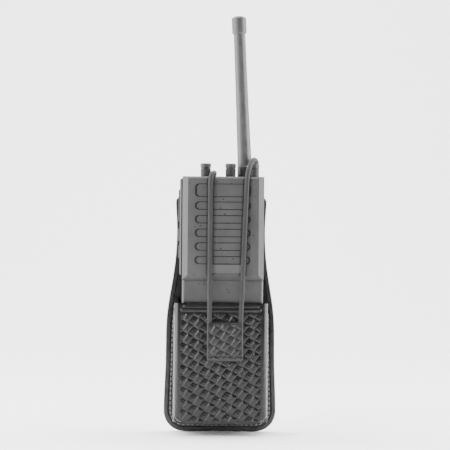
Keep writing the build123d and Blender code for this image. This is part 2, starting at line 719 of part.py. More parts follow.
BOARD_Y = -22.0
with BuildPart() as chassis:
    with BuildSketch(front_plane(BOARD_Y - 5.0)):
        with Locations((RADIO_X, 16.0)):
            Rectangle(42, 60)
            Rectangle(30, 26, mode=Mode.SUBTRACT)
    extrude(amount=1.5)
    with BuildSketch(front_plane(BOARD_Y - 1.7)):
        with Locations(*[(RADIO_X + sx * 18, 16 + sz * 27) for sx in (-1, 1) for sz in (-1, 1)]):
            Circle(1.8)
    extrude(amount=3.4)
chassis.part.label = "chassis"
export_step(chassis.part, "parts/chassis.step")

with BuildPart() as main_board:
    with BuildSketch(front_plane(BOARD_Y)):
        with Locations((RADIO_X, 15.0)):
            RectangleRounded(45, 62, 1.5)
    extrude(amount=1.6)
main_board.part.label = "main_board"
export_step(main_board.part, "parts/main_board.step")

with BuildPart() as shield_can:
    with BuildSketch(front_plane(BOARD_Y + 6.0)):
        with Locations((RADIO_X, 18.0)):
            RectangleRounded(36, 34, 1.0)
    extrude(amount=6.0)
    with BuildSketch(front_plane(BOARD_Y + 5.6)):
        with Locations((RADIO_X, 18.0)):
            Rectangle(35.2, 33.2)
    extrude(amount=5.6, mode=Mode.SUBTRACT)
shield_can.part.label = "shield_can"
export_step(shield_can.part, "parts/shield_can.step")

# ---------------------------------------------------------------- radio: controls on the top
for use, x in CONTROL_X.items():
    with BuildPart() as control_body:
        with BuildSketch(Plane.XY.offset(RADIO_TOP - WALL - 7.5)):
            with Locations((x, CONTROL_Y + 1.6)):
                Rectangle(9.4, 9.0)
        extrude(amount=7.3)
        with BuildSketch(Plane.XY.offset(RADIO_TOP - WALL - 2)):
            with Locations((x, CONTROL_Y)):
                Circle(BUSH_R)
        extrude(amount=WALL + 2)
        with BuildSketch(Plane.XY.offset(RADIO_TOP - WALL - 5)):
            with Locations((x, CONTROL_Y)):
                Circle(SHAFT_HOLE_R)
        extrude(amount=WALL + 6, mode=Mode.SUBTRACT)
    control_body.part.label = f"{use}_control"
    export_step(control_body.part, f"parts/{use}_control.step")

    with BuildPart() as shaft:
        with BuildSketch(Plane.XY.offset(RADIO_TOP - WALL - 4.8)):
            with Locations((x, CONTROL_Y)):
                Circle(SHAFT_R)
        extrude(amount=KNOB_TOP - 3 - (RADIO_TOP - WALL - 4.8))
    shaft.part.label = f"{use}_shaft"
    export_step(shaft.part, f"parts/{use}_shaft.step")

    with BuildPart() as knob:
        foot = RADIO_TOP + KNOB_GAP
        with BuildSketch(Plane.XZ):
            Polygon(
                (0, foot),
                (KNOB_R - 0.35, foot),
                (KNOB_R - 0.15, KNOB_TOP - 4.4),
                (KNOB_R - 0.7, KNOB_TOP - 4.2),
                (KNOB_R - 0.7, KNOB_TOP - 3.7),
                (KNOB_R, KNOB_TOP - 3.5),
                (KNOB_R, KNOB_TOP - 0.6),
                (KNOB_R - 0.6, KNOB_TOP),
                (0, KNOB_TOP),
                align=None,
            )
        revolve(axis=Axis.Z)
        with BuildSketch(Plane.XY.offset(foot)):
            with PolarLocations(KNOB_R - 0.1, 16):
                Circle(0.35)
        extrude(amount=KNOB_TOP - 5 - foot, mode=Mode.SUBTRACT)
        with BuildSketch(Plane.XY.offset(foot)):
            Circle(SHAFT_R)
        extrude(amount=KNOB_TOP - 3 - foot, mode=Mode.SUBTRACT)
        with BuildSketch(Plane.XY.offset(KNOB_TOP - 0.5)):
            with Locations((0, -KNOB_R / 2)):
                Rectangle(0.8, KNOB_R - 0.6)
        extrude(amount=1, mode=Mode.SUBTRACT)
    placed = Pos(x, CONTROL_Y, 0) * knob.part
    placed.label = f"{use}_knob"
    export_step(placed, f"parts/{use}_knob.step")

# ---------------------------------------------------------------- radio: antenna
STUD_RADIUS = 2.2
BOOT_TOP = RADIO_TOP + 9.0
with BuildPart() as antenna_bush:
    with BuildSketch(Plane.XY.offset(RADIO_TOP - 9.0)):
        with Locations((ANTENNA_X, ANTENNA_Y)):
            Circle(4.0)
            Circle(STUD_RADIUS + RUNNING_GAP, mode=Mode.SUBTRACT)
    extrude(amount=9.0)
antenna_bush.part.label = "antenna_bush"
export_step(antenna_bush.part, "parts/antenna_bush.step")

with BuildPart() as antenna_stud:
    with BuildSketch(Plane.XY.offset(RADIO_TOP - 8.0)):
        with Locations((ANTENNA_X, ANTENNA_Y)):
            Circle(STUD_RADIUS)
    extrude(amount=8.0 + KNOB_GAP)
antenna_stud.part.label = "antenna_stud"
export_step(antenna_stud.part, "parts/antenna_stud.step")

with BuildPart() as antenna_boot:
    with BuildSketch(Plane.XY.offset(RADIO_TOP + KNOB_GAP)):
        with Locations((ANTENNA_X, ANTENNA_Y)):
            Circle(WHIP_BASE_R)
    extrude(amount=BOOT_TOP - RADIO_TOP - KNOB_GAP)
    chamfer(antenna_boot.faces().sort_by(Axis.Z)[0].edges(), 0.6)
    chamfer(antenna_boot.faces().sort_by(Axis.Z)[-1].edges(), 0.3)
antenna_boot.part.label = "antenna_boot"
export_step(antenna_boot.part, "parts/antenna_boot.step")

lean = math.radians(ANTENNA_LEAN)
whip_axis = Vector(-math.sin(lean), 0, math.cos(lean))
whip_foot = Vector(ANTENNA_X, ANTENNA_Y, BOOT_TOP + 0.35)
whip_length = (ANTENNA_TIP - CAP_H - whip_foot.Z) / math.cos(lean)
whip_plane = Plane(origin=whip_foot, x_dir=(0, 1, 0), z_dir=whip_axis)
with BuildPart() as antenna_whip:
    with BuildSketch(whip_plane):
        Circle(WHIP_BASE_R - 0.1)
    with BuildSketch(whip_plane.offset(0.55 * whip_length)):
        Circle((WHIP_BASE_R + WHIP_TOP_R) / 2 - 0.3)
    with BuildSketch(whip_plane.offset(whip_length)):
        Circle(WHIP_TOP_R)
    loft()
antenna_whip.part.label = "antenna_whip"
export_step(antenna_whip.part, "parts/antenna_whip.step")

with BuildPart() as antenna_cap:
    with BuildSketch(whip_plane.offset(whip_length)):
        Circle(CAP_R)
    extrude(amount=CAP_H)
    top_edge = antenna_cap.edges().filter_by(GeomType.CIRCLE).sort_by(Axis.Z)[-1]
    chamfer(top_edge, 1.5, 2.6)
    foot_edge = antenna_cap.edges().filter_by(GeomType.CIRCLE).sort_by(Axis.Z)[0]
    chamfer(foot_edge, 0.8)
antenna_cap.part.label = "antenna_cap"
export_step(antenna_cap.part, "parts/antenna_cap.step")

# ---------------------------------------------------------------- radio: battery
BATTERY_H = BATTERY_TOP - BATTERY_BOTTOM
LID_T = 2.4
BATTERY_D = RADIO_BACK_Y - BATTERY_FACE_Y
with BuildPart() as battery_case:
    with BuildSketch(Plane.XY.offset(BATTERY_BOTTOM)):
        with Locations((RADIO_X, BATTERY_MID_Y)):
            RectangleRounded(RADIO_W - 0.4, BATTERY_D, 2.5)
    extrude(amount=BATTERY_H - LID_T)
    fillet(battery_case.faces().sort_by(Axis.Z)[0].edges(), 1.5)
    with BuildSketch(Plane.XY.offset(BATTERY_BOTTOM + 2)):
        with Locations((RADIO_X, BATTERY_MID_Y)):
            Rectangle(RADIO_W - 4.4, BATTERY_D - 4)
    extrude(amount=BATTERY_H, mode=Mode.SUBTRACT)
battery_case.part.label = "battery_case"
export_step(battery_case.part, "parts/battery_case.step")

with BuildPart() as battery_lid:
    with BuildSketch(Plane.XY.offset(BATTERY_TOP - LID_T)):
        with Locations((RADIO_X, BATTERY_MID_Y)):
            RectangleRounded(RADIO_W - 0.4, BATTERY_D, 2.5)
    extrude(amount=LID_T)
    with BuildSketch(Plane.XY.offset(BATTERY_TOP - 0.6)):
        with Locations(*CONTACT_PLACES):
            Circle(2.05)
    extrude(amount=1, mode=Mode.SUBTRACT)
battery_lid.part.label = "battery_lid"
export_step(battery_lid.part, "parts/battery_lid.step")

with BuildPart() as battery_contacts:
    with BuildSketch(Plane.XY.offset(BATTERY_TOP - 0.6)):
        with Locations(*CONTACT_PLACES):
            Circle(2.0)
    extrude(amount=0.5)
battery_contacts.part.label = "battery_contacts"
export_step(battery_contacts.part, "parts/battery_contacts.step")

CELL_R = 8.9
CELL_H = 49.5
with BuildPart() as cells:
    for level in range(2):
        with BuildSketch(Plane.XY.offset(BATTERY_BOTTOM + 2.6 + level * (CELL_H + 0.8))):
            with Locations(*[(RADIO_X + n * (2 * CELL_R + 0.4), BATTERY_FACE_Y + 12) for n in (-1, 0, 1)]):
                Circle(CELL_R)
        extrude(amount=CELL_H)
cells.part.label = "cells"
export_step(cells.part, "parts/cells.step")

with BuildPart() as cell_pad:
    with BuildSketch(Plane.XY.offset(BATTERY_BOTTOM + 2.6)):
        with Locations((RADIO_X, BATTERY_FACE_Y + 25.5)):
            Rectangle(54, 6.5)
    extrude(amount=100)
cell_pad.part.label = "cell_pad"
export_step(cell_pad.part, "parts/cell_pad.step")
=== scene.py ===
"""Looks for a portable radio in its leather belt holder, laid out as an add-on and run as a script."""

import math

import bmesh
import bpy
import numpy as np
from bpy.props import FloatProperty, FloatVectorProperty, IntProperty, PointerProperty
from bpy.types import Operator, Panel, PropertyGroup
from mathutils import Matrix, Vector
from mathutils.geometry import convex_hull_2d


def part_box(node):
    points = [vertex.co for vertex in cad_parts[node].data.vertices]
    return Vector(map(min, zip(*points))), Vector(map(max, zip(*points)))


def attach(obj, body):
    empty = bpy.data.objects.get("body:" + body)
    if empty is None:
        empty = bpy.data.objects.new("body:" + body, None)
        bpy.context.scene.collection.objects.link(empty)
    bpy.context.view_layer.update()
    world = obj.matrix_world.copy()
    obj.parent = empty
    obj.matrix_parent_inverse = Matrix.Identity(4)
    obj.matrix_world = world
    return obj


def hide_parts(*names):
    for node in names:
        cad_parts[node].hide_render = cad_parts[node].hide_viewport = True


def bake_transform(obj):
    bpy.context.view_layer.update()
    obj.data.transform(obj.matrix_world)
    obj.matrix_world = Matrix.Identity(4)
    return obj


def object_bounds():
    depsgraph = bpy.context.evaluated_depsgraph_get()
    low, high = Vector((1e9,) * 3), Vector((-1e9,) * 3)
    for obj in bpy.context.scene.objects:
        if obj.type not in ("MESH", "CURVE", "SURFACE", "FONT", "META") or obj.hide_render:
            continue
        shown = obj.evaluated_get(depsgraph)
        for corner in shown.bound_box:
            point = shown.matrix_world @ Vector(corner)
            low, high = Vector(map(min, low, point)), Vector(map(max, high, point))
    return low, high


bl_info = {
    "name": "Belt Radio",
    "version": (1, 0, 0),
    "blender": (4, 5, 0),
    "location": "View3D > Sidebar > Belt Radio",
    "description": "Dresses a portable radio and its stamped leather belt holder",
    "category": "Object",
}

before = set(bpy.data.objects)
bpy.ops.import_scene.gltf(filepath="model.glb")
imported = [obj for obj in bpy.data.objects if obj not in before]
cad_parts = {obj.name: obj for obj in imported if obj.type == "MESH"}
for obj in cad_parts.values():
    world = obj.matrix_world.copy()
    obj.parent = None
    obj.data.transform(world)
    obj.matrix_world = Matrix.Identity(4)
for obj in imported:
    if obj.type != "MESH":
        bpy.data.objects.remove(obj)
cad_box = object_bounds()


# ---------------------------------------------------------------- sizes and colours
class HolderSizes(PropertyGroup):
    """Sizes of the leather holder."""

    pocket_half: FloatProperty(name="Pocket half width", description="Half of the pocket's outer width",
                               default=0.0379, unit="LENGTH")
    weave_pitch: FloatProperty(name="Weave pitch", description="Distance from one stamp to the next",
                               default=0.0090, unit="LENGTH")
    weave_depth: FloatProperty(name="Weave depth", description="Depth of the basket stamp",
                               default=0.0010, unit="LENGTH")
    skin_half: FloatProperty(name="Stamped half width", description="Half of the stamped front's width",
                             default=0.0338, unit="LENGTH")
    skin_corner: FloatProperty(name="Stamped corner", description="Corner radius of the stamped front",
                               default=0.006, unit="LENGTH")
    side_half: FloatProperty(name="Stamped side half depth", description="Half of a stamped side's depth",
                             default=0.0125, unit="LENGTH")
    mouth: FloatProperty(name="Mouth", description="Height of the pocket's front edge", default=-0.0403,
                         unit="LENGTH")
    flange_face: FloatProperty(name="Flange face", description="Where the stitched flange's face lies",
                               default=-0.0102, unit="LENGTH")
    mouth_band: FloatProperty(name="Mouth band", description="Height of the creased band at the mouth",
                              default=0.0078, unit="LENGTH")
    flange_drop: FloatProperty(name="Stitch line",
                               description="Distance of the stitches from the panel's edge",
                               default=0.0055, unit="LENGTH")
    stitch_length: FloatProperty(name="Stitch length", description="Length of one stitch",
                                 default=0.0030, unit="LENGTH")
    stitch_pitch: FloatProperty(name="Stitch pitch", description="Distance from stitch to stitch",
                                default=0.0040, unit="LENGTH")
    thread_radius: FloatProperty(name="Thread radius", description="Half of the thread's thickness",
                                 default=0.00050, unit="LENGTH")


class CordSizes(PropertyGroup):
    """Sizes of the elastic cord."""

    radius: FloatProperty(name="Cord radius", description="Half of the cord's thickness",
                          default=0.0020, unit="LENGTH")
    strands: IntProperty(name="Strands", description="Braid strands each way round", default=6)
    braid_depth: FloatProperty(name="Braid depth", description="How far the strands stand out",
                               default=0.00022, unit="LENGTH")
    braid_pitch: FloatProperty(name="Braid pitch", description="Length of one turn of a strand",
                               default=0.0110, unit="LENGTH")


class FinishColours(PropertyGroup):
    """Colours of the finishes."""

    leather: FloatVectorProperty(name="Leather", description="Stamped leather", subtype="COLOR",
                                 default=(0.0030, 0.0030, 0.0030))
    lining: FloatVectorProperty(name="Lining", description="Inner leather", subtype="COLOR",
                                default=(0.006, 0.0056, 0.0054))
    housing: FloatVectorProperty(name="Housing", description="Radio housing", subtype="COLOR",
                                 default=(0.046, 0.046, 0.046))
    battery: FloatVectorProperty(name="Battery", description="Battery case", subtype="COLOR",
                                 default=(0.046, 0.046, 0.046))
    cord: FloatVectorProperty(name="Cord", description="Elastic cord", subtype="COLOR",
                              default=(0.008, 0.008, 0.008))
    antenna: FloatVectorProperty(name="Antenna", description="Antenna rubber", subtype="COLOR",
                                 default=(0.046, 0.046, 0.046))
    rubber: FloatVectorProperty(name="Rubber", description="Buttons and seals", subtype="COLOR",
                                default=(0.014, 0.014, 0.014))
    plate: FloatVectorProperty(name="Plate", description="Blank plate on the face", subtype="COLOR",
                               default=(0.075, 0.075, 0.075))


class StageLights(PropertyGroup):
    """Camera and lights."""

    distance: FloatProperty(name="Distance", description="Camera to the radio's face",
                            default=1.5, unit="LENGTH")
    azimuth: FloatProperty(name="Azimuth", description="Camera angle round the radio, in degrees",
                           default=-1.2)
    roll: FloatProperty(name="Roll", description="Camera roll, in degrees", default=0.5)
    view_width: FloatProperty(name="View width", description="Width seen at the radio's face",
                              default=0.3645, unit="LENGTH")
    front_sky: FloatProperty(name="Front sky", description="Brightness of the surroundings in front",
                             default=0.3)
    side_sky: FloatProperty(name="Side sky", description="Brightness of the surroundings at the sides",
                            default=1.3)
    back_sky: FloatProperty(name="Back sky", description="Brightness of the surroundings behind",
                            default=9.0)
    side_power: FloatProperty(name="Side lights", description="Power of each side light", default=9.0)
    backdrop_power: FloatProperty(name="Backdrop light", description="Power of the backdrop light",
                                  default=150.0)
    key_power: FloatProperty(name="Front light", description="Power of the front light", default=2.5)


# ---------------------------------------------------------------- materials
def shader_tree(name, colour, rough):
    """A new material with its nodes, and the shader set to a colour and a roughness."""
    material = bpy.data.materials.new(name)
    material.use_nodes = True
    nodes = material.node_tree.nodes
    shader = nodes["Principled BSDF"]
    shader.inputs["Base Color"].default_value = (*colour, 1)
    shader.inputs["Roughness"].default_value = rough
    return material, nodes, material.node_tree.links, shader


def noise(nodes, links, scale, detail, rough=0.55):
    """A noise texture in the object's own coordinates."""
    place = nodes.new("ShaderNodeTexCoord")
    texture = nodes.new("ShaderNodeTexNoise")
    texture.inputs["Scale"].default_value = scale
    texture.inputs["Detail"].default_value = detail
    texture.inputs["Roughness"].default_value = rough
    links.new(place.outputs["Object"], texture.inputs["Vector"])
    return texture


def ramp(nodes, links, source, low, high, dark, light):
    """Maps a texture's value between two colours."""
    stops = nodes.new("ShaderNodeValToRGB")
    stops.color_ramp.elements[0].position = low
    stops.color_ramp.elements[1].position = high
    stops.color_ramp.elements[0].color = (*dark, 1)
    stops.color_ramp.elements[1].color = (*light, 1)
    links.new(source, stops.inputs["Fac"])
    return stops.outputs["Color"]


def bump(nodes, links, shader, source, strength, height, under=None):
    """Adds a bump from a texture's value, on top of an earlier one."""
    relief = nodes.new("ShaderNodeBump")
    relief.inputs["Strength"].default_value = strength
    relief.inputs["Distance"].default_value = height
    links.new(source, relief.inputs["Height"])
    if under is not None:
        links.new(under.outputs["Normal"], relief.inputs["Normal"])
    links.new(relief.outputs["Normal"], shader.inputs["Normal"])
    return relief


def shaded(colour, factor):
    """A lighter or darker version of a colour."""
    return tuple(min(1.0, c * factor) for c in colour)


def moulded_plastic(name, colour, rough=0.42, grain=1100.0, depth=0.00022, specks_and_painted_shade=True):
    """Plastic with a fine moulded grain, smears of handling, dark specks, and painted shade in the grooves
    and under nearby parts.
    """
    material, nodes, links, shader = shader_tree(name, colour, rough)
    smear = noise(nodes, links, 45.0, 4.0)
    tone = ramp(nodes, links, smear.outputs["Fac"], 0.3, 0.72, shaded(colour, 0.86), shaded(colour, 1.14))
    if specks_and_painted_shade:
        place = nodes.new("ShaderNodeTexCoord")
        speck = nodes.new("ShaderNodeTexVoronoi")
        speck.inputs["Scale"].default_value = 170.0
        links.new(place.outputs["Object"], speck.inputs["Vector"])
        dot = ramp(nodes, links, speck.outputs["Distance"], 0.09, 0.12, (0.25, 0.25, 0.25), (1, 1, 1))
        # painted shade: ambient occlusion darkens the base colour in grooves, recesses and under the cords
        hollow = nodes.new("ShaderNodeAmbientOcclusion")
        hollow.samples = 16
        hollow.inputs["Distance"].default_value = 0.0024
        shade = ramp(nodes, links, hollow.outputs["AO"], 0.55, 0.97, (0.03, 0.03, 0.03), (1, 1, 1))
        for layer in (dot, shade):
            mix = nodes.new("ShaderNodeMix")
            mix.data_type = "RGBA"
            mix.blend_type = "MULTIPLY"
            mix.inputs["Factor"].default_value = 1.0
            links.new(tone, mix.inputs["A"])
            links.new(layer, mix.inputs["B"])
            tone = mix.outputs["Result"]
    links.new(tone, shader.inputs["Base Color"])
    patches = noise(nodes, links, 90.0, 3.0)
    polish = nodes.new("ShaderNodeMapRange")
    polish.inputs["To Min"].default_value = rough - 0.06
    polish.inputs["To Max"].default_value = rough + 0.10
    links.new(patches.outputs["Fac"], polish.inputs["Value"])
    links.new(polish.outputs["Result"], shader.inputs["Roughness"])
    fine = noise(nodes, links, grain, 2.0, 0.6)
    shader.inputs["Specular IOR Level"].default_value = 0.32
    bump(nodes, links, shader, fine.outputs["Fac"], 0.8, depth)
    return material


def waxed_leather(name, colour, rough=0.26, pores=900.0):
    """Black leather: pores, wrinkles, patchy wax and a clear polish on top."""
    material, nodes, links, shader = shader_tree(name, colour, rough)
    shader.inputs["Specular IOR Level"].default_value = 0.14
    shader.inputs["Coat Weight"].default_value = 0.42
    shader.inputs["Coat Roughness"].default_value = 0.12
    patch = noise(nodes, links, 120.0, 5.0)
    tone = ramp(nodes, links, patch.outputs["Fac"], 0.35, 0.75, shaded(colour, 0.7), shaded(colour, 1.9))
    links.new(tone, shader.inputs["Base Color"])
    wax = nodes.new("ShaderNodeMapRange")
    wax.inputs["To Min"].default_value = rough - 0.08
    wax.inputs["To Max"].default_value = rough + 0.18
    links.new(patch.outputs["Fac"], wax.inputs["Value"])
    links.new(wax.outputs["Result"], shader.inputs["Roughness"])
    place = nodes.new("ShaderNodeTexCoord")
    cells = nodes.new("ShaderNodeTexVoronoi")
    cells.feature = "DISTANCE_TO_EDGE"
    cells.inputs["Scale"].default_value = pores
    links.new(place.outputs["Object"], cells.inputs["Vector"])
    wrinkle = noise(nodes, links, 260.0, 6.0, 0.65)
    first = bump(nodes, links, shader, wrinkle.outputs["Fac"], 0.30, 0.0003)
    bump(nodes, links, shader, cells.outputs["Distance"], 0.25, 0.00012, under=first)
    return material


def ribbed_rubber(name, colour, rough=0.5):
    """Matt rubber with a faint bloom."""
    material, nodes, links, shader = shader_tree(name, colour, rough)
    bloom = noise(nodes, links, 150.0, 5.0)
    tone = ramp(nodes, links, bloom.outputs["Fac"], 0.3, 0.8, shaded(colour, 0.8), shaded(colour, 1.3))
    links.new(tone, shader.inputs["Base Color"])
    fine = noise(nodes, links, 1800.0, 3.0)
    bump(nodes, links, shader, fine.outputs["Fac"], 0.25, 0.00005)
    return material


def worked_metal(name, colour, rough=0.35):
    """Plain metal with fine scratches."""
    material, nodes, links, shader = shader_tree(name, colour, rough)
    shader.inputs["Metallic"].default_value = 1.0
    scratch = noise(nodes, links, 700.0, 8.0, 0.8)
    tone = ramp(nodes, links, scratch.outputs["Fac"], 0.3, 0.8, shaded(colour, 0.75), shaded(colour, 1.2))
    links.new(tone, shader.inputs["Base Color"])
    bump(nodes, links, shader, scratch.outputs["Fac"], 0.15, 0.00004)
    return material


def spun_thread(name, colour, rough=0.7):
    """Waxed thread or braided yarn."""
    material, nodes, links, shader = shader_tree(name, colour, rough)
    shader.inputs["Sheen Weight"].default_value = 0.05
    shader.inputs["Sheen Roughness"].default_value = 0.4
    fibre = noise(nodes, links, 2200.0, 4.0, 0.7)
    tone = ramp(nodes, links, fibre.outputs["Fac"], 0.25, 0.8, shaded(colour, 0.6), shaded(colour, 1.5))
    links.new(tone, shader.inputs["Base Color"])
    bump(nodes, links, shader, fibre.outputs["Fac"], 0.5, 0.0001)
    return material


finishes = {}


def finish(name):
    """One of this object's finishes, made when it is first asked for."""
    if name not in finishes:
        colours = bpy.context.scene.belt_radio_colours
        makers = {
            "leather": lambda: waxed_leather("stamped_leather", colours.leather),
            # painted light: the tab's leather is a lighter copy of the stamped leather, for the light that
            # the raised tab catches
            "tab": lambda: waxed_leather("tab_leather_painted_light", shaded(colours.leather, 3.2), 0.40),
            # painted highlight: the welt's leather is a lighter copy of the stamped leather, standing in for
            # the highlight along the piping
            "welt": lambda: waxed_leather("welt_leather_painted_highlight", shaded(colours.leather, 5.0), 0.34),
            "lining": lambda: waxed_leather("lining_leather", colours.lining, 0.55, 700.0),
            "housing": lambda: moulded_plastic("housing_plastic", colours.housing),
            "battery": lambda: moulded_plastic("battery_plastic", colours.battery, 0.36, 3800.0, 0.00002),
            "plate": lambda: moulded_plastic("plate_plastic", colours.plate, 0.38, 5200.0, 0.00001, False),
            "knob": lambda: moulded_plastic("knob_plastic", shaded(colours.housing, 0.95), 0.38),
            "inner": lambda: moulded_plastic("inner_plastic", shaded(colours.housing, 0.6), 0.5, specks_and_painted_shade=False),
            "rubber": lambda: ribbed_rubber("button_rubber", colours.rubber),
            "antenna": lambda: ribbed_rubber("antenna_rubber", colours.antenna, 0.36),
            # partly painted shade: the boot is a real part, but its rubber is a darker copy of the antenna's,
            # standing in for the cord's shadow at the antenna's foot
            "boot": lambda: ribbed_rubber("boot_rubber_painted_shade", shaded(colours.antenna, 0.35), 0.45),
            "cord": lambda: spun_thread("elastic_braid", colours.cord),
            "thread": lambda: spun_thread("waxed_thread", (0.10, 0.10, 0.10), 0.5),
            "blackened": lambda: worked_metal("blackened_metal", (0.05, 0.05, 0.05), 0.32),
            "steel": lambda: worked_metal("bare_steel", (0.55, 0.55, 0.56), 0.3),
            "brass": lambda: worked_metal("bare_brass", (0.72, 0.55, 0.26), 0.3),
            "board": lambda: moulded_plastic("circuit_board", (0.02, 0.12, 0.05), 0.4, specks_and_painted_shade=False),
            "cloth": lambda: spun_thread("screen_cloth", (0.02, 0.02, 0.02)),
        }
        finishes[name] = makers[name]()
    return finishes[name]


CARRIED_OVER = {
    "leather": ("back_panel", "pocket", "belt_loop"),
    "welt": ("edge_welt",),
    "lining": ("panel_lining",),
    "housing": ("front_housing", "rear_housing", "side_bezel", "battery_latch", "socket_cover"),
    "battery": ("battery_case", "battery_lid"),
    "plate": ("name_plate",),
    "knob": ("volume_knob", "squelch_knob", "channel_knob"),
    "rubber": ("top_plate", "housing_seal", "talk_button", "monitor_button", "light_button", "speaker_ring",
               "cell_pad"),
    "antenna": ("antenna_whip", "antenna_cap"),
    "boot": ("antenna_boot",),
    "blackened": ("loop_rivets", "snap_stud", "snap_socket", "cord_ferrules"),
    "steel": ("housing_screws", "cover_pin", "shield_can", "volume_shaft", "squelch_shaft", "channel_shaft",
              "chassis", "cells", "speaker"),
    "brass": ("antenna_bush", "antenna_stud", "contact_pins", "battery_contacts"),
    "board": ("main_board", "side_board"),
    "inner": ("microphone", "accessory_socket", "volume_control", "squelch_control", "channel_control"),
    "cloth": ("dust_screen",),
}


# ---------------------------------------------------------------- mesh helpers
def new_piece(name, points, faces, body, finish_name):
    """A smooth mesh piece that rides on a body."""
    mesh = bpy.data.meshes.new(name)
    mesh.from_pydata([tuple(p) for p in points], [], [tuple(f) for f in faces])
    mesh.validate()
    mesh.polygons.foreach_set("use_smooth", [True] * len(mesh.polygons))
    piece = bpy.data.objects.new(name, mesh)
    bpy.context.collection.objects.link(piece)
    mesh.materials.append(finish(finish_name))
    if body:
        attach(piece, body)
    return piece


def smooth_step(low, high, value):
    """0 below low, 1 above high, and an easy curve between."""
    t = np.clip((value - low) / (high - low), 0, 1)
    return t * t * (3 - 2 * t)


def basket_stamp(x, z, pitch, slant=0.4):
    """Relief of the basket stamp, from about 0 to 1.

    Steep straps lie over flatter ribbed ones, in columns that climb to the right. slant is how steeply.
    """
    z = z - slant * x
    u = (x + z) / pitch
    v = (z - x) / pitch
    i = np.floor(u)
    j = np.floor(v)
    fu = u - i - 0.5
    fv = v - j - 0.5
    steep = (i + j) % 2 == 0
    along = np.where(steep, fu, fv)
    across = np.where(steep, fv, fu)
    wall = smooth_step(0, 1, np.clip((0.5 - np.abs(across)) / 0.10, 0, 1))
    soft_wall = smooth_step(0, 1, np.clip((0.5 - np.abs(across)) / 0.30, 0, 1))
    ends = smooth_step(0, 1, np.clip((0.5 - np.abs(along)) / 0.20, 0, 1))
    lip = 0.40 * np.exp(-((across - 0.34) / 0.07) ** 2)
    ribs = 0.05 * np.cos(6 * math.pi * across)
    strap = wall * (0.60 + 0.20 * (1 - (2 * across) ** 2)) * (0.72 + 0.28 * ends) + (lip + 0.5 * ribs) * ends
    under = (0.34 * soft_wall * (0.55 + 0.45 * ends) - 0.30 * across * soft_wall + ribs) * ends + 0.10
    return np.where(steep, strap, under)


def arc_length(path):
    """Distance along a list of points, from 0."""
    steps = np.linalg.norm(np.diff(path, axis=0), axis=1)
    return np.concatenate([[0], np.cumsum(steps)])


def resample(path, step):
    """Points at even distances along a path."""
    far = arc_length(path)
    count = max(2, int(far[-1] / step) + 1)
    at = np.linspace(0, far[-1], count)
    return np.stack([np.interp(at, far, path[:, k]) for k in range(3)], axis=1)


def thread_stitches(name, path, normals, body):
    """A row of short rounded stitches along a path, each dipping into the leather at its ends."""
    sizes = bpy.context.scene.belt_radio_holder
    far = arc_length(path)
    points = []
    faces = []
    rings = 7
    sides = 6
    starts = np.arange(0.001, far[-1] - sizes.stitch_length, sizes.stitch_pitch)
    for start in starts:
        base = len(points)
        for r in range(rings):
            t = r / (rings - 1)
            at = start + t * sizes.stitch_length
            here = np.array([np.interp(at, far, path[:, k]) for k in range(3)])
            ahead = np.array([np.interp(at + 1e-4, far, path[:, k]) for k in range(3)])
            out = np.array([np.interp(at, far, normals[:, k]) for k in range(3)])
            along = (ahead - here) / np.linalg.norm(ahead - here)
            side = np.cross(along, out)
            swell = math.sin(math.pi * (0.12 + 0.76 * t))
            radius = sizes.thread_radius * (0.45 + 0.55 * swell)
            middle = here + out * sizes.thread_radius * (1.5 * swell - 0.7)
            for s in range(sides):
                a = 2 * math.pi * s / sides
                points.append(middle + radius * (math.cos(a) * side + math.sin(a) * out))
        for r in range(rings - 1):
            for s in range(sides):
                a = base + r * sides + s
                b = base + r * sides + (s + 1) % sides
                faces.append((a, b, b + sides, a + sides))
        faces.append(tuple(base + s for s in reversed(range(sides))))
        faces.append(tuple(base + (rings - 1) * sides + s for s in range(sides)))
    return new_piece(name, points, faces, body, "thread")


# ---------------------------------------------------------------- the holder
FRONT_STEP = 0.0004      # size of one face of the stamped front, and of the tab
SIDE_STEP = 0.0005       # size of one face of the stamped sides
SIDE_CORNER = 0.003      # corner radius of the stamped sides
SIDE_DROP = 0.004        # how much lower the stamped sides start than the front
TAB_CORNER = 0.0025      # corner radius of the tab
STITCH_TOP = -0.041      # the stitches beside the pocket start at this height
LINE_STEP = 0.002        # distance between the points that a row of stitches follows
LOOP_MARGIN = 0.0035     # distance of the belt loop's stitches from its sides
LOOP_ROW = 0.026         # half of the length of a row of stitches on the belt loop
SKIN_FOOT = 0.0055       # height of the stamped front's foot over the pocket's foot
FRONT_SINK = 0.00012     # how deep the back of the stamped front lies in the pocket's wall
SIDE_SINK = 0.0001       # how far inside the pocket's half width a stamped side starts
SLAB_EDGE = 0.00002      # thickness that a slab keeps at its border
CREASE_DROPS = (0.0020, 0.0052)      # places of the two creases, under the pocket's mouth
CREASE_HEIGHT = 0.0012
CREASE_WIDTH = 0.0007
TAB_BACK = 0.0006        # how far in front of the cords' side of the tab its leather starts
TAB_ROLL = 0.0012        # width of the rolled border of the tab
HEM_RISE = 0.0045        # height of the pressed hem over the tab's lower end
HEM_WIDTH = 0.0005
HEM_DEPTH = 0.0005


